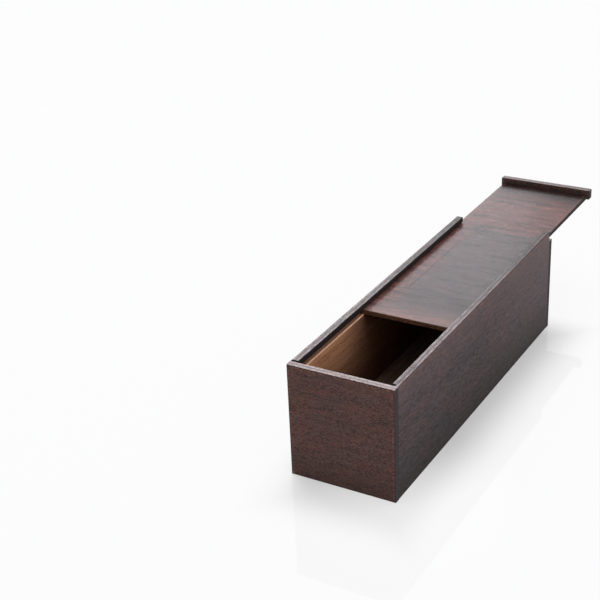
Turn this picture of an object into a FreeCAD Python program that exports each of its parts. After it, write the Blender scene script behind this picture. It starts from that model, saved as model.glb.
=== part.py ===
"""Sliding lid box: stained plywood walls, a housed bottom and a lid in ploughed grooves.

Millimetres. Z is up and the lid slides open along +Y. The box stands on the lower edges of its
four walls, and the origin is there, at the middle of the closed end panel's lower edge.
"""
import FreeCAD
import Part
import os

V = FreeCAD.Vector

# The box, over its outer faces
box_length = 356.0
box_width = 100.0
box_height = 108.0

# The plywood of each piece
end_thickness = 6.5
side_thickness = 6.5
bottom_thickness = 6.5
lid_thickness = 4.2
strip_thickness = 7.5

# The bottom, housed in all four walls above the table
bottom_rise = 12.5
housing_depth = 3.2
housing_gap = 0.2

# The groove that the lid runs in
groove_depth = 3.9
lip_height = 4.8
lip_setback = 0.8

# Clearances round the lid and its pull strip
lid_under_gap = 0.3
lid_over_gap = 1.0
lid_side_gap = 0.4
lid_end_gap = 0.3
strip_end_gap = 0.3

# The rebate in the pull strip that holds the end of the lid
rebate_depth = 4.0

# How far the lid stands open at rest
lid_opening = 120.0

# Sanded edges: those a hand meets, those at a glue line, and those of the pull strip
hand_edge = 0.6
joint_edge = 0.25
lid_edge = 0.4
strip_edge = 0.9

# Levels that several pieces share
groove_top = box_height - lip_height
lid_top = groove_top - lid_over_gap
lid_bottom = lid_top - lid_thickness
groove_floor = lid_bottom - lid_under_gap
bottom_top = bottom_rise + bottom_thickness

# Places across the box, on its right-hand side
outer_x = box_width / 2
inner_x = outer_x - side_thickness
groove_x = inner_x + groove_depth
housing_x = inner_x + housing_depth
lid_x = groove_x - lid_side_gap

# Places along the box
closed_outer_y = -end_thickness / 2
closed_inner_y = end_thickness / 2
open_outer_y = closed_outer_y + box_length
open_inner_y = open_outer_y - end_thickness
strip_inner_y = open_outer_y - strip_thickness
lip_end_y = strip_inner_y - strip_end_gap
lid_end_y = strip_inner_y + rebate_depth


def board(low, high):
    """A square-edged board between its lowest and its highest corner."""
    size = V(*high) - V(*low)
    return Part.makeBox(size.x, size.y, size.z, V(*low))


def edges_at(solid, **place):
    """The solid's straight edges that lie whole at the given x, y or z values."""
    found = []
    for edge in solid.Edges:
        ends = [vertex.Point for vertex in edge.Vertexes]
        if all(abs(getattr(end, axis) - value) < 1e-4 for end in ends for axis, value in place.items()):
            found.append(edge)
    return found


def eased(solid, radius, places):
    """The solid with a small sanded round along each edge that the places name."""
    edges = [edge for place in places for edge in edges_at(solid, **place)]
    return solid.makeFillet(radius, edges)


def end_panel(outer_y, inner_y, height):
    """A full-width end board whose inner face has a stopped housing for the bottom."""
    low_y, high_y = sorted((outer_y, inner_y))
    panel = board((-outer_x, low_y, 0), (outer_x, high_y, height))
    into_panel = housing_depth if outer_y > inner_y else -housing_depth
    low_housing, high_housing = sorted((inner_y, inner_y + into_panel))
    housing = board((-housing_x, low_housing, bottom_rise), (housing_x, high_housing, bottom_top))
    panel = panel.cut(housing)
    outside = [{"x": side, "y": outer_y} for side in (-outer_x, outer_x)]
    outside += [{"y": outer_y, "z": level} for level in (0, height)]
    panel = eased(panel, hand_edge, outside)
    glue_line = [{"x": side, "y": inner_y} for side in (-outer_x, outer_x)]
    return eased(panel, joint_edge, glue_line)


def side_panel():
    """The right-hand side, ploughed along its inner face for the lid and for the bottom."""
    section = [
        (outer_x, 0),
        (outer_x, box_height),
        (inner_x, box_height),
        (inner_x, groove_top),
        (groove_x, groove_top),
        (groove_x, groove_floor),
        (inner_x, groove_floor),
        (inner_x, bottom_top),
        (housing_x, bottom_top),
        (housing_x, bottom_rise),
        (inner_x, bottom_rise),
        (inner_x, 0),
    ]
    outline = Part.makePolygon([V(x, closed_inner_y, z) for x, z in section + section[:1]])
    panel = Part.Face(outline).extrude(V(0, open_inner_y - closed_inner_y, 0))

    # The pull strip shuts over the open end, so the groove's walls stop short of it there.
    strip_room = board((0, lip_end_y, groove_floor), (outer_x, open_inner_y, box_height))
    # At the closed end only the lip is short, by the width of a saw cut.
    saw_cut = board((0, closed_inner_y, groove_floor), (groove_x, closed_inner_y + lip_setback, box_height))
    panel = panel.cut(strip_room).cut(saw_cut)

    long_edges = [
        {"x": outer_x, "z": 0},
        {"x": outer_x, "z": box_height},
        {"x": inner_x, "z": box_height},
        {"x": inner_x, "z": groove_floor},
    ]
    panel = eased(panel, hand_edge, long_edges)
    glue_line = [{"x": outer_x, "y": end} for end in (closed_inner_y, open_inner_y)]
    return eased(panel, joint_edge, glue_line)


def bottom_panel():
    """The raised bottom, its four edges held in the walls' housings."""
    reach = housing_depth - housing_gap
    low = (-inner_x - reach, closed_inner_y - reach, bottom_rise)
    high = (inner_x + reach, open_inner_y + reach, bottom_top)
    return board(low, high)


def lid_panel():
    """The thin lid, which runs in the grooves and ends inside the pull strip."""
    near_y = closed_inner_y + lid_end_gap
    lid = board((-lid_x, near_y, lid_bottom), (lid_x, lid_end_y, lid_top))
    near_edges = [{"y": near_y, "z": level} for level in (lid_bottom, lid_top)]
    long_edges = [{"x": side, "z": level} for side in (-lid_x, lid_x) for level in (lid_bottom, lid_top)]
    return eased(lid, lid_edge, near_edges + long_edges)


def lid_pull_strip():
    """The strip across the lid's end: a finger pull, and the top of the open end when shut."""
    strip = board((-outer_x, strip_inner_y, lid_bottom), (outer_x, open_outer_y, box_height))
    rebate = board((-lid_x, strip_inner_y, lid_bottom), (lid_x, lid_end_y, lid_top))
    strip = strip.cut(rebate)
    top_edges = [{"y": face, "z": box_height} for face in (strip_inner_y, open_outer_y)]
    end_edges = [{"x": side, "z": level} for side in (-outer_x, outer_x) for level in (lid_bottom, box_height)]
    end_edges += [{"x": side, "y": face} for side in (-outer_x, outer_x) for face in (strip_inner_y, open_outer_y)]
    return eased(strip, strip_edge, top_edges + end_edges + [{"y": open_outer_y, "z": lid_bottom}])


right_side = side_panel()
opened = V(0, lid_opening, 0)
pieces = {
    "closed_end_panel": end_panel(closed_outer_y, closed_inner_y, box_height),
    "open_end_panel": end_panel(open_outer_y, open_inner_y, groove_floor),
    "right_side_panel": right_side,
    "left_side_panel": right_side.mirror(V(0, 0, 0), V(1, 0, 0)),
    "bottom_panel": bottom_panel(),
    "lid_panel": lid_panel().translated(opened),
    "lid_pull_strip": lid_pull_strip().translated(opened),
}

os.makedirs("parts", exist_ok=True)
for name, shape in pieces.items():
    shape.exportStep(f"parts/{name}.step")
    box = shape.BoundBox
    print(f"{name}: {box.XLength:.1f} x {box.YLength:.1f} x {box.ZLength:.1f} mm, valid {shape.isValid()}")
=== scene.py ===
# %% [markdown]
# # A sliding lid box in dark-stained plywood
#
# The box itself comes from the frame: five boards glued into a long tray, and a thin lid with a
# pull strip across its end. This script gives every board the look of stained plywood, sets the
# box on a glossy white table and lights it softly.

# %% Load the frame
import math

import bpy
from mathutils import Matrix, Vector


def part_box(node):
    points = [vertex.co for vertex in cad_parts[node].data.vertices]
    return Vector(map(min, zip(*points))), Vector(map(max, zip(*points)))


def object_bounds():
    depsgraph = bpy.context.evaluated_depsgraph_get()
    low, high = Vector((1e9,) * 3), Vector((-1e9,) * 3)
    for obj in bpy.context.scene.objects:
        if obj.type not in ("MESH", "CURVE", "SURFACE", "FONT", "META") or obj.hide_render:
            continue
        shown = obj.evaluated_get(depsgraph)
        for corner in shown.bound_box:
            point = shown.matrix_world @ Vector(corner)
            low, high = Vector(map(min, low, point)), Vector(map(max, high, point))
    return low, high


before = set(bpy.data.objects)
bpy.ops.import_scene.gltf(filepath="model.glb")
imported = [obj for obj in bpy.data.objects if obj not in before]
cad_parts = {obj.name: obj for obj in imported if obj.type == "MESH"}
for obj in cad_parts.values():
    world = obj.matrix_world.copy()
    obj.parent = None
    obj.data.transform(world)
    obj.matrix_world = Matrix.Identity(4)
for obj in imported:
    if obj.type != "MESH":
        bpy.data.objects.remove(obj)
cad_low, cad_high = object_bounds()
print("boards:", ", ".join(sorted(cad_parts)))

# %% [markdown]
# ## Sizes
#
# Object coordinates are in the frame's own axes, so a pattern can ask where on the box it is. They
# are in metres, and wood is easier to think of in millimetres, so every material works in those.
# The places of the tray and of the lid's groove are read from the boards, not typed in again.

# %% Read the places that the patterns need
MM = 1000.0
LID_SIDE_GAP = 0.4
# A distance past everything, for a box that is meant to be open on that side.
FAR = 1000.0


def corners(node):
    """A board's lowest and highest corner, in millimetres."""
    low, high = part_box(node)
    return Vector(low) * MM, Vector(high) * MM


closed_end = corners("closed_end_panel")
open_end = corners("open_end_panel")
right_side = corners("right_side_panel")
left_side = corners("left_side_panel")
bottom = corners("bottom_panel")
lid = corners("lid_panel")
strip = corners("lid_pull_strip")

near_wall = closed_end[1].y
far_wall = open_end[0].y
inner_x = right_side[0].x
groove_x = lid[1].x + LID_SIDE_GAP
tray_floor = bottom[1].z
groove_floor = open_end[1].z
rim = right_side[1].z
tray_size = (2 * inner_x, far_wall - near_wall, groove_floor - tray_floor)
print("inside of the tray in mm:", [round(size, 1) for size in tray_size])

# %% [markdown]
# ## Two small helpers
#
# Stain colours are easiest to judge as the hex values of a paint chart. Blender's shaders work in
# linear light, so one function converts them. The other adds a node: settings such as an operation
# come as keywords, and inputs by name or by number, as a value, a socket or another node.


# %% Colour and node helpers
def linear(hex_colour):
    """An sRGB hex colour as the linear RGBA that a shader socket takes."""
    parts = [int(hex_colour[i:i + 2], 16) / 255 for i in (1, 3, 5)]
    return (*[c / 12.92 if c <= 0.04045 else ((c + 0.055) / 1.055) ** 2.4 for c in parts], 1.0)


def add(tree, kind, inputs=None, **settings):
    """Add one node to a tree, give it its settings, and set or link its inputs."""
    node = tree.nodes.new("ShaderNode" + kind)
    for name, value in settings.items():
        setattr(node, name, value)
    sockets = [socket for socket in node.inputs if socket.enabled]
    for key, value in (inputs or {}).items():
        socket = sockets[key] if isinstance(key, int) else next(s for s in sockets if s.name == key)
        if isinstance(value, bpy.types.Node):
            value = next(output for output in value.outputs if output.enabled)
        if isinstance(value, bpy.types.NodeSocket):
            tree.links.new(value, socket)
        else:
            socket.default_value = value
    return node


print("a dark brown in linear light:", [round(c, 3) for c in linear("#4a312c")[:3]])

# %% [markdown]
# ## Grain
#
# Wood grain is noise that is stretched along the trunk. Squeezing the coordinates by a streak's
# real length and width before they reach a Noise texture gives that, and on a cut across the grain
# the same pattern turns into the small dots of end grain by itself. Real fibres are about 0.2 mm
# wide, too fine to show at arm's length, so the finest streaks here are drawn at about 0.7 mm.
#
# Every board is cut from another place in one endless plank, so no two look alike, and a slow
# drift bends the streaks by a few millimetres, because no trunk grows dead straight.

# %% Patterns in the wood
AXES = "XYZ"
PLANK_STEP = (371.0, 533.0, 719.0)
DRIFT_LENGTH = 60.0
DRIFT_REACH = 6.0
FIBRES_PER_STREAK = 9
FIBRE_SHARE = 0.82
STREAK_SHARE = 0.18


def grain_noise(tree, place, along, length, width, detail=2.0, roughness=0.55):
    """Noise whose streaks are `length` along one axis and `width` across it, in millimetres."""
    scale = [1 / width] * 3
    scale[AXES.index(along)] = 1 / length
    squeezed = add(tree, "Mapping", {"Vector": place, "Scale": scale})
    return add(tree, "TexNoise", {"Vector": squeezed, "Scale": 1.0, "Detail": detail,
                                  "Roughness": roughness})


def grain_patterns(tree, place, along, fibre_length, seed):
    """The patterns of one board's own piece of wood."""
    cut_from = [seed * step for step in PLANK_STEP]
    own = add(tree, "VectorMath", {0: place, 1: cut_from}, operation="ADD")
    drift = add(tree, "TexNoise", {"Vector": own, "Scale": 1 / DRIFT_LENGTH, "Detail": 1.0})
    centred = add(tree, "VectorMath", {0: drift.outputs["Color"], 1: (0.5,) * 3}, operation="SUBTRACT")
    bend = add(tree, "VectorMath", {0: centred, "Scale": DRIFT_REACH}, operation="SCALE")
    wood = add(tree, "VectorMath", {0: own, 1: bend}, operation="ADD")
    fibres = grain_noise(tree, wood, along, length=fibre_length, width=0.7, roughness=0.8)
    streaks = grain_noise(tree, wood, along, length=FIBRES_PER_STREAK * fibre_length, width=3.0)
    fine = add(tree, "Math", {0: fibres, 1: FIBRE_SHARE}, operation="MULTIPLY")
    return {
        "patches": grain_noise(tree, wood, along, length=24.0, width=15.0, roughness=0.6),
        "streaks": streaks,
        "tone": add(tree, "Math", {0: streaks, 1: STREAK_SHARE, 2: fine}, operation="MULTIPLY_ADD"),
        "flecks": grain_noise(tree, wood, along, length=2.6, width=1.1, detail=1.0),
        "pores": grain_noise(tree, wood, along, length=2.6, width=0.7, detail=1.0),
    }


print("patterns: patches, streaks, tone, flecks and pores")

# %% [markdown]
# ## Where on the board
#
# Two measures decide which finish shows. One says how far a point lies outside a box, so that a
# skin round the tray's inside, or round the lid's groove, can be picked out. The other takes the
# distances to the board's three pairs of faces: on the surface one of them is zero, so the middle
# one is the distance to the nearest edge, where hands have rubbed the stain thin.


# %% Measures of place
def in_millimetres(tree, coordinates):
    """A point's place in the frame, in millimetres."""
    return add(tree, "VectorMath", {0: coordinates.outputs["Object"], 1: (MM,) * 3},
               operation="MULTIPLY")


def beyond_box(tree, place, low, high):
    """How far a point lies outside a box, in millimetres."""
    under = add(tree, "VectorMath", {0: low, 1: place}, operation="SUBTRACT")
    over = add(tree, "VectorMath", {0: place, 1: high}, operation="SUBTRACT")
    worst = add(tree, "VectorMath", {0: under, 1: over}, operation="MAXIMUM")
    x, y, z = add(tree, "SeparateXYZ", {0: worst}).outputs
    flat = add(tree, "Math", {0: x, 1: y}, operation="MAXIMUM")
    return add(tree, "Math", {0: flat, 1: z}, operation="MAXIMUM")


def skin(tree, place, low, high, gone, full, most=1.0):
    """A mask over a box: all of it up to `full` millimetres outside, and nothing past `gone`."""
    outside = beyond_box(tree, place, low, high)
    return add(tree, "MapRange", {"Value": outside, "From Min": gone, "From Max": full, "To Max": most})


def edge_distance(tree, place, low, high):
    """Distance in millimetres from a point on a square board's surface to its nearest edge."""
    from_low = add(tree, "VectorMath", {0: place, 1: low}, operation="SUBTRACT")
    from_high = add(tree, "VectorMath", {0: high, 1: place}, operation="SUBTRACT")
    nearest = add(tree, "VectorMath", {0: from_low, 1: from_high}, operation="MINIMUM")
    x, y, z = add(tree, "SeparateXYZ", {0: nearest}).outputs
    lesser = add(tree, "Math", {0: x, 1: y}, operation="MINIMUM")
    greater = add(tree, "Math", {0: x, 1: y}, operation="MAXIMUM")
    rest = add(tree, "Math", {0: greater, 1: z}, operation="MINIMUM")
    return add(tree, "Math", {0: lesser, 1: rest}, operation="MAXIMUM")


print("measures: beyond a box, a box's skin, from an edge")

# %% [markdown]
# ## Stained plywood
#
# The boards are thin plywood with a fine-grained veneer, wiped with a dark brown stain and left
# satin. The stain settles between the fibres and misses some patches, which stay red-brown, so the
# eye sees a dark board with a fine, uneven fleck. Each part of the finish is a layer over the one
# before, mixed in by a mask. A scan of real veneer could be wrapped round each board instead, but it
# would stop at the edges. A pattern in space goes right through the board, as the wood does.

# %% Stain colours
END_STAIN = {"dark": "#281d1d", "light": "#694f49", "thin": "#6e4038",
             "ply": "#b5a6a6", "core": "#5a4e4e"}
SIDE_STAIN = {"dark": "#19171a", "light": "#4d4346", "thin": "#5c3c39",
              "ply": "#958a8b", "core": "#3a3233"}
LID_STAIN = {"dark": "#2a1c1b", "light": "#704e49", "thin": "#825650",
             "ply": "#7a5b47", "core": "#35251c"}
STRIP_STAIN = {"dark": "#281f1e", "light": "#4e3c38", "thin": "#573b31",
               "ply": "#8a7d7d", "core": "#352e2e"}
# Nearly black: stain that pooled in the pores and the veneer seam, and painted shade along the
# arrises, at the foot, on the rails and in front of the pull strip.
POOLED_STAIN_AND_SHADE = "#1a1413"
print("stains for the ends, the sides, the lid and its strip")

# %% The face veneer
# From the level of a patch at which the stain begins to thin, to that at which it is thinnest.
THINNING = 0.5


def layer(tree, mask, under, over):
    """One colour over another where a mask says so, each given as a socket or a hex colour."""
    below = linear(under) if isinstance(under, str) else under
    above = linear(over) if isinstance(over, str) else over
    return add(tree, "Mix", {"Factor": mask, "A": below, "B": above}, data_type="RGBA")


def stained_face(tree, wood, stain, thin_from):
    """Stain on the face veneer, darker between the fibres and thin in patches."""
    lightness = add(tree, "MapRange", {"Value": wood["tone"], "From Min": 0.34, "From Max": 0.66})
    brown = layer(tree, lightness, stain["dark"], stain["light"])
    patch = add(tree, "MapRange", {"Value": wood["patches"], "From Min": thin_from,
                                   "From Max": thin_from + THINNING},
                interpolation_type="SMOOTHSTEP")
    fibre = add(tree, "MapRange", {"Value": wood["tone"], "From Min": 0.46, "From Max": 0.57,
                                   "To Max": 0.8})
    thin = add(tree, "Math", {0: patch, 1: fibre}, operation="MULTIPLY")
    return layer(tree, thin, brown, stain["thin"])


print("face: brown between two tones, thin in patches")

# %% [markdown]
# ## Cut edges
#
# Where plywood is cut along the grain its plies show: the two outer ones took little stain, and the
# core between them is a darker line that wanders a little. An edge cut across the grain drinks the
# most stain and turns nearly black. Which of them a point is on shows from the way that the surface
# faces, and the plies are measured from the middle of the board's thickness. An image on each edge
# would have to be lined up by hand; this way the plies follow every edge, step and rebate.

# %% Plies and end grain
END_GRAIN = {"light": "#353132", "dark": "#1c191a"}
# Shares of the board's thickness, from its middle.
CORE_WANDER = 0.2
CORE_FULL = 0.06
CORE_GONE = 0.16


def cut_and_across(tree, coordinates, grain, ply):
    """How surely a point is on a cut edge, and how surely on one that is cut across the grain."""
    facing = add(tree, "VectorMath", {0: coordinates.outputs["Normal"]}, operation="ABSOLUTE")
    towards = add(tree, "SeparateXYZ", {0: facing}).outputs
    to_ply, to_grain = towards[AXES.index(ply)], towards[AXES.index(grain)]
    cut = add(tree, "MapRange", {"Value": to_ply, "From Min": 0.8, "From Max": 0.6})
    across = add(tree, "MapRange", {"Value": to_grain, "From Min": 0.6, "From Max": 0.8})
    return cut, across


def cut_edges(tree, wood, place, board, ply, stain, across):
    """Cut edges: light outer plies beside a wavy dark core, or end grain across the fibres."""
    axis = AXES.index(ply)
    thickness = (board[1] - board[0])[axis]
    middle = (board[0] + board[1])[axis] / 2
    depth = add(tree, "SeparateXYZ", {0: place}).outputs[axis]
    from_middle = add(tree, "Math", {0: depth, 1: middle}, operation="SUBTRACT")
    wave = add(tree, "MapRange", {"Value": wood["streaks"], "To Min": -CORE_WANDER * thickness,
                                  "To Max": CORE_WANDER * thickness})
    off_core = add(tree, "Math", {0: from_middle, 1: wave}, operation="ADD")
    off_core = add(tree, "Math", {0: off_core}, operation="ABSOLUTE")
    core = add(tree, "MapRange", {"Value": off_core, "From Min": CORE_GONE * thickness,
                                  "From Max": CORE_FULL * thickness, "To Max": 0.8})
    lightness = add(tree, "MapRange", {"Value": wood["tone"], "From Min": 0.36, "From Max": 0.60})
    plies = layer(tree, lightness, stain["core"], stain["ply"])
    plies = layer(tree, core, plies, stain["core"])
    end_grain = layer(tree, lightness, END_GRAIN["dark"], END_GRAIN["light"])
    return layer(tree, across, plies, end_grain)


print("core of the ply:", 2 * CORE_FULL, "of the thickness")

# %% [markdown]
# ## Inside the tray
#
# The inside had a single thin coat and stays a warm brown. It is painted darker towards the bottom
# and further in under the lid, as painted shade and the lid's painted shadow. A second material on
# the inner faces would need those faces to be cut where the coat ends. Instead it is a skin round the
# hollow of the tray, which takes in just what looks into it, on all five boards. The tray is the same
# left and right, so a place is folded onto the right-hand half first, and one measure serves both
# sides.

# %% The tray's thin coat
TRAY_STAIN = {"light": "#d09a74", "dark": "#85573d", "deep_shade": "#5a3d2e", "lid_shadow": "#2b1b14"}
# The tray is painted darker towards its floor as painted shade, darkest this many millimetres above it.
SHADE_DEEPEST_FROM_FLOOR = 20.0
# Where along the box the lid's painted shadow begins and is darkest, and how dark it gets.
LID_SHADOW = {"start": 70.0, "end": 120.0, "most": 0.75}


def folded(tree, place):
    """A place moved to the right-hand half of the box, as far from the middle as it was."""
    x, y, z = add(tree, "SeparateXYZ", {0: place}).outputs
    half_width = add(tree, "Math", {0: x}, operation="ABSOLUTE")
    return add(tree, "CombineXYZ", {0: half_width, 1: y, 2: z})


def clouds(tree, wood):
    """Soft clouds of streaks and fibres together, with a mean of about 1."""
    return add(tree, "Math", {0: wood["streaks"], 1: wood["tone"]}, operation="ADD")


def tray_inside(tree, wood, place, colour):
    """The brown inside of the tray, with painted shade low down and under the lid, over a board's own
    colour.
    """
    along, height = add(tree, "SeparateXYZ", {0: place}).outputs[1:]
    lightness = add(tree, "MapRange", {"Value": clouds(tree, wood), "From Min": 0.65, "From Max": 1.35})
    brown = layer(tree, lightness, TRAY_STAIN["dark"], TRAY_STAIN["light"])
    depth_shade = add(tree, "MapRange", {"Value": height, "From Min": groove_floor,
                                  "From Max": tray_floor + SHADE_DEEPEST_FROM_FLOOR})
    brown = layer(tree, depth_shade, brown, TRAY_STAIN["deep_shade"])
    under_lid = add(tree, "MapRange", {"Value": along, "From Min": LID_SHADOW["start"],
                                     "From Max": LID_SHADOW["end"], "To Max": LID_SHADOW["most"]},
                  interpolation_type="SMOOTHSTEP")
    shallow = add(tree, "Math", {0: 1.0, 1: depth_shade}, operation="SUBTRACT")
    lid_shadow_mask = add(tree, "Math", {0: under_lid, 1: shallow}, operation="MULTIPLY")
    brown = layer(tree, lid_shadow_mask, brown, TRAY_STAIN["lid_shadow"])
    low, high = (0.0, near_wall, tray_floor), (inner_x, far_wall, groove_floor)
    within = skin(tree, folded(tree, place), low, high, gone=0.25, full=0.1)
    return layer(tree, within, colour, brown)


print("tray: thin coat, thickest from", LID_SHADOW["end"], "mm in")

# %% [markdown]
# ## The lid's groove
#
# The groove was ploughed after the plywood was glued up. Its back wall and the inner face of the lip
# above it lie in shade, which is painted into their colour as a near black. Its floor is rubbed clean
# by the lid, and its arris is the palest line on the box, because the lid and every hand that reaches
# in have worn it bare. Each is a skin again, round a box that is as thin as the face or the line it
# marks, so it keeps to the groove if the groove moves.

# %% Back wall, floor and arris of the groove
# The wall's near black is painted shade.
GROOVE = {"floor": "#a3765f", "shaded_wall": "#1b1211", "arris": "#dfb091"}
# How far the painted shade on the wall keeps from the groove's floor and from the rim.
WALL_MARGIN = 0.5


def lid_groove(tree, place, colour):
    """The groove that is ploughed in the sides for the lid, over a board's own colour."""
    half = folded(tree, place)
    low = (inner_x, near_wall, groove_floor + WALL_MARGIN)
    high = (groove_x, FAR, rim - WALL_MARGIN)
    shaded_wall = skin(tree, half, low, high, gone=0.3, full=0.15)
    colour = layer(tree, shaded_wall, colour, GROOVE["shaded_wall"])
    low, high = (inner_x, near_wall, groove_floor), (groove_x, far_wall, groove_floor)
    floor = skin(tree, half, low, high, gone=0.3, full=0.1)
    colour = layer(tree, floor, colour, GROOVE["floor"])
    low, high = (inner_x, near_wall, groove_floor), (inner_x, far_wall, groove_floor)
    arris = skin(tree, half, low, high, gone=1.3, full=0.7)
    return layer(tree, arris, colour, GROOVE["arris"])


print("groove from", round(inner_x, 1), "to", round(groove_x, 1), "mm off the middle")

# %% [markdown]
# ## Edges: painted shade and the rub of hands
#
# A thin line of painted shade darkens each arris. Just inside that dark line, hands have rubbed the
# fibres through in a row of small orange-brown dots. A Bevel node could find the edges by itself, but
# it is slow and finds every glue line too. So the glued boards are taken as one block, and the edges
# are measured on that. It is open below, because nobody handles the edges that it stands on.

# %% Shaded and rubbed edges
WORN = "#b26a48"
# Millimetres from the edge, or from the line of the rub, and how much of each shows.
ARRIS_SHADE = {"gone": 1.2, "full": 0.4, "most": 0.6}
RUB = {"in": 2.0, "gone": 1.0, "full": 0.5, "most": 0.45}
CARCASS = (Vector((left_side[0].x, closed_end[0].y, -FAR)),
           Vector((right_side[1].x, open_end[1].y, rim)))


def shaded_and_rubbed_edges(tree, wood, place, block, cut, across, colour):
    """Painted shade along the arrises, and the dotted rub of hands just inside them."""
    from_edge = edge_distance(tree, place, *block)
    at_edge = add(tree, "MapRange", {"Value": from_edge, "From Min": ARRIS_SHADE["gone"],
                                     "From Max": ARRIS_SHADE["full"], "To Max": ARRIS_SHADE["most"]})
    on_face = add(tree, "Math", {0: 1.0, 1: cut}, operation="SUBTRACT")
    shaded_arris = add(tree, "Math", {0: at_edge, 1: on_face}, operation="MULTIPLY")
    colour = layer(tree, shaded_arris, colour, POOLED_STAIN_AND_SHADE)
    off_rub = add(tree, "Math", {0: from_edge, 1: RUB["in"]}, operation="SUBTRACT")
    off_rub = add(tree, "Math", {0: off_rub}, operation="ABSOLUTE")
    beside = add(tree, "MapRange", {"Value": off_rub, "From Min": RUB["gone"], "From Max": RUB["full"]})
    dotted = add(tree, "MapRange", {"Value": wood["flecks"], "From Min": 0.56, "From Max": 0.64,
                                    "To Max": RUB["most"]})
    rubbed = add(tree, "Math", {0: beside, 1: dotted}, operation="MULTIPLY")
    worn = add(tree, "Mix", {"Factor": across, "A": rubbed, "B": 0.0}, data_type="FLOAT")
    return layer(tree, worn, colour, WORN)


print("rub of hands", RUB["in"], "mm inside the edges")

# %% [markdown]
# ## One finish for every board
#
# Each board gives its own grain, plies, stain and seed. What it has beyond that comes as lists of
# masked layers: `on_face` holds those of its broad faces, such as a greyer sheet of veneer, and
# `on_edge` those that lie over everything, such as the painted shade on a rail. A `joint` is a mask as
# well, for a gap so narrow that only its darkness shows. A board of the `carcass` has a share of the
# tray's inside and of the groove. One function for all of them keeps the boards alike, as boards
# from one bench are, and what sets one apart stands in its own call.

# %% Build the material
GAP = "#060505"
SANDED_EDGE_ROUGHNESS = 0.40
END_GRAIN_ROUGHNESS = 0.80
# How much glossier the palest fibres are than the rest, and how much duller the darkest.
SHEEN = 0.10
# The depth of the open grain, in millimetres.
RELIEF = 0.10
# Oil stain and lacquer bend light about as much as glass does.
STAIN_IOR = 1.5


def satin(tree, wood, roughness, cut, across):
    """Satin on the sanded edges, duller on the open grain of the faces and on end grain."""
    edge_gloss = add(tree, "Mix", {"Factor": across, "A": SANDED_EDGE_ROUGHNESS,
                                   "B": END_GRAIN_ROUGHNESS}, data_type="FLOAT")
    gloss = add(tree, "Mix", {"Factor": cut, "A": roughness, "B": edge_gloss}, data_type="FLOAT")
    sheen = add(tree, "MapRange", {"Value": wood["tone"], "From Min": 0.35, "From Max": 0.65,
                                   "To Min": SHEEN, "To Max": -SHEEN})
    return add(tree, "Math", {0: gloss, 1: sheen}, operation="ADD")


def stained_plywood(name, board, grain, ply, seed, stain, roughness=0.74, fibre_length=4.0,
                    thin_from=0.28, specular=0.25, carcass=True, on_face=(), on_edge=(), joint=None):
    """Stained plywood with its face grain along one axis and its plies stacked along another."""
    material = bpy.data.materials.new(name)
    material.use_nodes = True
    tree = material.node_tree
    shader = tree.nodes["Principled BSDF"]
    coordinates = add(tree, "TexCoord")
    place = in_millimetres(tree, coordinates)
    cut, across = cut_and_across(tree, coordinates, grain, ply)
    wood = grain_patterns(tree, place, grain, fibre_length, seed)

    colour = stained_face(tree, wood, stain, thin_from)
    for make_mask, over in on_face:
        colour = layer(tree, make_mask(tree, wood, place), colour, over)
    colour = layer(tree, cut, colour, cut_edges(tree, wood, place, board, ply, stain, across))
    if carcass:
        colour = tray_inside(tree, wood, place, colour)
        colour = lid_groove(tree, place, colour)
    for make_mask, over in on_edge:
        colour = layer(tree, make_mask(tree, wood, place), colour, over)
    filled = add(tree, "MapRange", {"Value": wood["pores"], "From Min": 0.58, "From Max": 0.72,
                                    "To Max": 0.3})
    colour = layer(tree, filled, colour, POOLED_STAIN_AND_SHADE)
    colour = shaded_and_rubbed_edges(tree, wood, place, CARCASS if carcass else board, cut, across, colour)

    finish = satin(tree, wood, roughness, cut, across)
    if joint:
        gap = joint(tree, wood, place)
        colour = layer(tree, gap, colour, GAP)
        finish = add(tree, "Mix", {"Factor": gap, "A": finish, "B": 1.0}, data_type="FLOAT")
    relief = add(tree, "Math", {0: wood["tone"], 1: filled}, operation="SUBTRACT")
    bump = add(tree, "Bump", {"Height": relief, "Distance": RELIEF / MM, "Strength": 0.5})
    tree.links.new(colour.outputs[2], shader.inputs["Base Color"])
    tree.links.new(finish.outputs[0], shader.inputs["Roughness"])
    tree.links.new(bump.outputs[0], shader.inputs["Normal"])
    shader.inputs["IOR"].default_value = STAIN_IOR
    shader.inputs["Specular IOR Level"].default_value = specular
    return material


print("roughness:", SANDED_EDGE_ROUGHNESS, "on sanded edges,", END_GRAIN_ROUGHNESS, "on end grain")

# %% [markdown]
# ## The two ends
#
# Their grain runs across the box, in short flecks, and their plies are stacked along it. Satin
# stain on sanded veneer shows no sharp highlight, only a soft bloom. Towards the foot they are
# painted darker, as painted shade, which is a plain ramp on one coordinate. Both ends share all of
# that, so a loop finishes them, and only the seed of their grain differs.


# %% Finish the ends
def dress(node, material):
    """Give a board from the frame its finish."""
    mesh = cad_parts[node].data
    mesh.materials.clear()
    mesh.materials.append(material)
    print(node, "is finished in", material.name)


def fade(axis, start, end, most):
    """A mask that grows along one axis, from nothing at `start` to `most` at `end`."""
    def mask(tree, wood, place):
        along = add(tree, "SeparateXYZ", {0: place}).outputs[AXES.index(axis)]
        return add(tree, "MapRange", {"Value": along, "From Min": start, "From Max": end,
                                      "To Max": most})
    return mask


# Painted shade towards the foot.
end_layers = [(fade("Z", start=32.0, end=2.0, most=0.35), POOLED_STAIN_AND_SHADE)]
for node, name, board, seed in (
        ("closed_end_panel", "stained_end_plywood", closed_end, 1),
        ("open_end_panel", "stained_far_end_plywood", open_end, 2)):
    dress(node, stained_plywood(name, board, grain="X", ply="Y", seed=seed, stain=END_STAIN,
                                fibre_length=2.4, on_face=end_layers))

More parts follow.
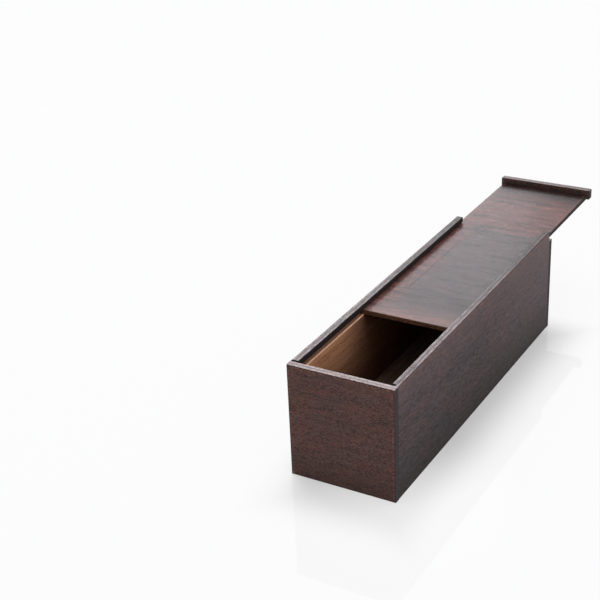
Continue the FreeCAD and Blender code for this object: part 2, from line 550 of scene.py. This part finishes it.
# %% [markdown]
# ## The two sides
#
# Their grain runs along the box, in longer fibres. Towards the open end and the top they are painted
# greyer, a painted sheen, and towards the foot darker, a painted shade. The tops of the rails get
# painted shade towards the open end, where their sheen fades. At the closed end each side leaves a
# narrow open joint. Light hardly gets into it, so painting its shadow on the rail gives the eye the
# same dark line as a deeper cut would.

# %% Finish the sides
SHEEN_FAR_END = "#665b5e"
SHEEN_TOP = "#7a6261"
# Where along the rails the painted shade begins and is darkest, and how dark it gets.
RAIL_SHADE = {"start": 100.0, "end": 300.0, "most": 0.85}
JOINT_LENGTH = 2.8
RIGHT_JOINT_WIDTH = 3.5


def shaded_rail(tree, wood, place):
    """Painted shade on top of the rails, darker towards the open end, where their sheen fades."""
    along, height = add(tree, "SeparateXYZ", {0: place}).outputs[1:]
    top = add(tree, "MapRange", {"Value": height, "From Min": rim - 0.5, "From Max": rim - 0.3})
    far = add(tree, "MapRange", {"Value": along, "From Min": RAIL_SHADE["start"],
                                 "From Max": RAIL_SHADE["end"], "To Max": RAIL_SHADE["most"]})
    return add(tree, "Math", {0: top, 1: far}, operation="MULTIPLY")


def open_joint(low_x, high_x):
    """A mask for the dark joint that a side leaves at the closed end."""
    def mask(tree, wood, place):
        low, high = (low_x, near_wall, rim), (high_x, near_wall + JOINT_LENGTH, rim)
        return skin(tree, place, low, high, gone=0.4, full=0.1)
    return mask


# Painted sheen towards the open end and the top, and painted shade towards the foot.
side_layers = [(fade("Y", start=170.0, end=350.0, most=0.45), SHEEN_FAR_END),
               (fade("Z", start=70.0, end=rim, most=0.27), SHEEN_TOP),
               (fade("Z", start=60.0, end=2.0, most=0.72), POOLED_STAIN_AND_SHADE)]
right_joint = open_joint(inner_x, inner_x + RIGHT_JOINT_WIDTH)
left_joint = open_joint(left_side[0].x, left_side[1].x)
for node, name, board, seed, joint in (
        ("right_side_panel", "stained_right_side_plywood", right_side, 3, right_joint),
        ("left_side_panel", "stained_left_side_plywood", left_side, 4, left_joint)):
    dress(node, stained_plywood(name, board, grain="Y", ply="X", seed=seed, stain=SIDE_STAIN,
                                fibre_length=8.0, on_face=side_layers,
                                on_edge=[(shaded_rail, POOLED_STAIN_AND_SHADE)], joint=joint))

# %% [markdown]
# ## The bottom
#
# Seen from below it is stained like the sides. Its top is the floor of the tray, where things that
# slid in and out have worn the thin coat paler along the grain. The wear is cut out of the same
# streaks as the grain itself, so that it looks worn into the wood and not painted on.

# %% Finish the bottom
WORN_FLOOR = "#8c7564"


def worn_floor(tree, wood, place):
    """The floor of the tray, where wear has left the stain paler along the grain."""
    low, high = (-inner_x, near_wall, tray_floor), (inner_x, far_wall, tray_floor)
    inside = skin(tree, place, low, high, gone=0.25, full=0.1)
    worn = add(tree, "MapRange", {"Value": clouds(tree, wood), "From Min": 0.75, "From Max": 1.25,
                                  "To Min": 0.35})
    return add(tree, "Math", {0: inside, 1: worn}, operation="MULTIPLY")


dress("bottom_panel", stained_plywood(
    "stained_bottom_plywood", bottom, grain="Y", ply="Z", seed=5, stain=SIDE_STAIN,
    fibre_length=6.0, on_edge=[(worn_floor, WORN_FLOOR)]))

# %% [markdown]
# ## The lid and its pull strip
#
# The lid is cut with its grain across, which is why its dark streaks and red smears run from side
# to side. It is also the smoothest board, because it has to slide, so it alone gets a coat of
# lacquer over the stain, and mirrors the lamps softly. Its veneer is in two sheets, a greyer one
# beside a redder one, with a fine seam between them. The lip at its near end is painted paler, a
# painted highlight, and the corner in front of the pull strip is painted darker, the strip's painted
# shade and reflection. The strip itself took more stain than the ends. Each mark is a layer by
# itself, so that it can be made stronger, moved or left out alone, and its place is measured from the
# lip or from that corner, so that it stays on the lid however far it stands open.

# %% Marks on the lid
LID_MARKS = {"smear": "#8a5548", "grey": "#403f41", "streak": "#2a1f1f", "lip": "#9a7d78"}
SEAM_X = -27.0
lip = lid[0].y
corner = strip[0].y
GREY_SHEET = ((SEAM_X, lip + 14.0, -FAR), (FAR, lip + 218.5, FAR))
SEAM = ((SEAM_X, lip + 61.5, lid[0].z), (SEAM_X, lip + 176.5, lid[1].z))
RAGGED_BY = 20.0
SMEARED = {"start": lip + 156.5, "end": lip + 226.5, "least": 0.1, "most": 0.40}


def grey_sheet(tree, wood, place):
    """The greyer sheet of the lid's veneer, ragged where it was sanded level."""
    outside = beyond_box(tree, place, *GREY_SHEET)
    rag = add(tree, "MapRange", {"Value": wood["streaks"], "To Min": -RAGGED_BY, "To Max": RAGGED_BY})
    ragged = add(tree, "Math", {0: outside, 1: rag}, operation="ADD")
    return add(tree, "MapRange", {"Value": ragged, "From Min": 3.0, "From Max": -4.0, "To Max": 0.7},
               interpolation_type="SMOOTHSTEP")


def veneer_seam(tree, wood, place):
    """The fine dark line between the two sheets."""
    return skin(tree, place, *SEAM, gone=1.1, full=0.5, most=0.75)


def dark_streaks(tree, wood, place):
    """Long dark streaks that run across the lid with its grain."""
    broad = grain_noise(tree, place, "X", length=50.0, width=7.0, detail=5.0, roughness=0.7)
    return add(tree, "MapRange", {"Value": broad, "From Min": 0.46, "From Max": 0.66, "To Max": 0.75},
               interpolation_type="SMOOTHSTEP")


def red_smears(tree, wood, place):
    """Smears where the stain was wiped off along the grain, most of them near the pull strip."""
    smear = grain_noise(tree, place, "X", length=36.0, width=9.0, detail=5.0, roughness=0.7)
    wiped = add(tree, "MapRange", {"Value": smear, "From Min": 0.50, "From Max": 0.68},
                interpolation_type="SMOOTHSTEP")
    along = add(tree, "SeparateXYZ", {0: place}).outputs[1]
    most = add(tree, "MapRange", {"Value": along, "From Min": SMEARED["start"],
                                  "From Max": SMEARED["end"], "To Min": SMEARED["least"],
                                  "To Max": SMEARED["most"]})
    return add(tree, "Math", {0: wiped, 1: most}, operation="MULTIPLY")


lid_layers = [(red_smears, LID_MARKS["smear"]), (grey_sheet, LID_MARKS["grey"]),
              (dark_streaks, LID_MARKS["streak"]), (veneer_seam, POOLED_STAIN_AND_SHADE),
              # Painted highlight along the lip.
              (fade("Y", start=lip + 32.0, end=lip + 4.0, most=0.25), LID_MARKS["lip"]),
              # Painted shade and reflection of the pull strip on the lid in front of it.
              (fade("Y", start=corner - 45.0, end=corner - 12.0, most=0.9), POOLED_STAIN_AND_SHADE)]
print(len(lid_layers), "marks on the lid")

# %% Finish the lid and the strip
dress("lid_panel", stained_plywood(
    "lacquered_lid_plywood", lid, grain="X", ply="Z", seed=6, stain=LID_STAIN, roughness=0.24,
    fibre_length=3.0, thin_from=0.24, specular=0.14, carcass=False, on_face=lid_layers))
dress("lid_pull_strip", stained_plywood(
    "stained_strip_plywood", strip, grain="X", ply="Y", seed=7, stain=STRIP_STAIN, carcass=False))

# %% [markdown]
# ## Table
#
# The box stands on glossy white acrylic in a white studio. Under its gloss the table glows a plain
# white that only the camera and reflections see, so it is as pale as a studio sweep without more
# light. Close to the box that share is small and the real shadow shows; it grows with the distance,
# and near the corner that both open sides light. The gloss lies over all of it, and mirrors the box.

# %% The table's acrylic
# The part of the table that the box shades most, from which the white grows.
SHADED = (Vector((left_side[0].x + 27.0, closed_end[0].y - 20.0, -FAR)),
          Vector((right_side[1].x + 4.0, open_end[1].y - 30.0, FAR)))
SHADE = {"reach": 58.0, "near": 0.21, "far": 0.93}
# The extra white near this corner is painted light, for light that reaches it from two sides.
LIT_CORNER = {"place": (right_side[1].x, closed_end[0].y, 0.0), "reach": 120.0, "most": 0.40}
# Acrylic's own IOR is 1.49, but this sheet mirrors the box more faintly than that would.
GLOSS_IOR = 1.3


def seen(tree):
    """1 where the camera looks, plainly, in a mirror or through glass, and 0 where only light goes."""
    path = add(tree, "LightPath")
    direct = add(tree, "Math", {0: path.outputs["Is Camera Ray"], 1: path.outputs["Is Glossy Ray"]},
                 operation="MAXIMUM")
    return add(tree, "Math", {0: direct, 1: path.outputs["Is Transmission Ray"]}, operation="MAXIMUM")


def white_share(tree):
    """How much of the table's own white shows, from its place beside the box."""
    place = in_millimetres(tree, add(tree, "TexCoord"))
    away = beyond_box(tree, place, *SHADED)
    share = add(tree, "MapRange", {"Value": away, "From Max": SHADE["reach"], "To Min": SHADE["near"],
                                   "To Max": SHADE["far"]}, interpolation_type="SMOOTHSTEP")
    from_corner = add(tree, "VectorMath", {0: place, 1: LIT_CORNER["place"]}, operation="DISTANCE")
    lit = add(tree, "MapRange", {"Value": from_corner, "From Max": LIT_CORNER["reach"],
                                 "To Min": LIT_CORNER["most"], "To Max": 0.0},
              interpolation_type="SMOOTHSTEP")
    return add(tree, "Math", {0: share, 1: lit}, operation="ADD", use_clamp=True)


def glossy_white_acrylic():
    """Cast acrylic sheet: an even white under a clear gloss that mirrors what stands on it."""
    material = bpy.data.materials.new("glossy_white_acrylic")
    material.use_nodes = True
    tree = material.node_tree
    shader = tree.nodes["Principled BSDF"]
    shader.inputs["Base Color"].default_value = linear("#f6f6f7")
    shader.inputs["Specular IOR Level"].default_value = 0.0
    lift = add(tree, "Math", {0: seen(tree), 1: white_share(tree)}, operation="MULTIPLY")
    white = add(tree, "Emission", {"Color": linear("#fcfcfd")})
    pale = add(tree, "MixShader", {0: lift, 1: shader, 2: white})
    gloss = add(tree, "BsdfAnisotropic", {"Color": linear("#ffffff"), "Roughness": 0.02})
    coated = add(tree, "MixShader", {0: add(tree, "Fresnel", {"IOR": GLOSS_IOR}), 1: pale, 2: gloss})
    tree.links.new(coated.outputs[0], tree.nodes["Material Output"].inputs["Surface"])
    return material


# %% Table
# Metres from the middle of the table to its edge, far past what the camera sees of it.
HALF_TABLE = 4.0
bpy.ops.mesh.primitive_plane_add(size=2 * HALF_TABLE, location=(0, 0, cad_low[2]))
table = bpy.context.object
table.name = "white_table"
table.data.materials.append(glossy_white_acrylic())
print("table of", 2 * HALF_TABLE, "m, in", table.data.materials[0].name)

# %% [markdown]
# ## Studio light
#
# Four large square lamps light the box, so its shadows are soft. Two of them would show as bright
# squares in the lacquer and the table, and are hidden from reflections. The other two light only
# the box, by light linking: on the table they would wash its shadow out. The white studio round
# them all fills the shadows, but is plain white only to the camera and in reflections.

# %% Lamps
# How high above the table the lamps aim, in metres.
AIM_HEIGHT = 0.08


def softbox(name, azimuth, elevation, distance, size, radiance, tint="#ffffff", mirrored=True,
            flagged_off=None):
    """A square area lamp, seen from the box's middle at an azimuth from +Y towards +X."""
    middle = Vector((0.0, 0.5 * (cad_low[1] + cad_high[1]), AIM_HEIGHT))
    turn, rise = math.radians(azimuth), math.radians(elevation)
    out = Vector((math.sin(turn) * math.cos(rise), math.cos(turn) * math.cos(rise), math.sin(rise)))
    lamp = bpy.data.lights.new(name, "AREA")
    lamp.shape = "SQUARE"
    lamp.size = size
    lamp.energy = radiance * math.pi * size ** 2
    lamp.color = linear(tint)[:3]
    holder = bpy.data.objects.new(name, lamp)
    holder.location = middle + out * distance
    holder.rotation_mode = "QUATERNION"
    holder.rotation_quaternion = out.to_track_quat("Z", "Y")
    holder.visible_camera = False
    holder.visible_glossy = mirrored
    bpy.context.scene.collection.objects.link(holder)
    if flagged_off:
        shaded = bpy.data.collections.new(name + "_skips")
        shaded.objects.link(flagged_off)
        shaded.collection_objects[0].light_linking.link_state = "EXCLUDE"
        holder.light_linking.receiver_collection = shaded
    print(name, "of", round(lamp.energy, 1), "W")


softbox("overhead_softbox", azimuth=0, elevation=89, distance=4.0, size=3.4, radiance=1.9,
        mirrored=False)
softbox("key_softbox", azimuth=-45, elevation=60, distance=3.0, size=1.8, radiance=2.5,
        mirrored=False)
softbox("back_softbox", azimuth=-35, elevation=27, distance=2.2, size=1.25, radiance=2.55,
        tint="#f4f4fc", flagged_off=table)
softbox("right_softbox", azimuth=85, elevation=30, distance=3.6, size=2.0, radiance=3.0,
        flagged_off=table)

# %% White studio
STUDIO_FILL = 0.50
world = bpy.data.worlds.new("white_studio")
bpy.context.scene.world = world
world.use_nodes = True
sky = world.node_tree
strength = add(sky, "MapRange", {"Value": seen(sky), "To Min": STUDIO_FILL, "To Max": 1.0})
sky.links.new(strength.outputs[0], sky.nodes["Background"].inputs["Strength"])
sky.nodes["Background"].inputs["Color"].default_value = linear("#ffffff")
print("studio fill", STUDIO_FILL)

# %% [markdown]
# ## Camera
#
# A short telephoto, above the closed end and to its right, looks down along the box. A Track To
# constraint would aim it, but couldn't roll it. So three angles turn it: the heading from +Y, the dip
# below level, and a little roll about its own line of sight.

# %% Camera
SENSOR = 36.0
LENS = 80.05
camera_data = bpy.data.cameras.new("camera")
camera_data.sensor_width = SENSOR
camera_data.lens = LENS
camera = bpy.data.objects.new("camera", camera_data)
camera_place = Vector((0.46225, -0.82681, 0.64298))
heading, dip, roll = math.radians(31.054), math.radians(26.157), math.radians(-2.660)
level = Matrix.Rotation(heading, 4, "Z") @ Matrix.Rotation(math.pi / 2 - dip, 4, "X")
camera.matrix_world = Matrix.Translation(camera_place) @ level @ Matrix.Rotation(roll, 4, "Z")
bpy.context.scene.collection.objects.link(camera)
bpy.context.scene.camera = camera
bpy.context.scene.view_settings.view_transform = "Standard"
print("camera at", [round(v, 3) for v in camera_place], "m, lens", LENS, "mm")
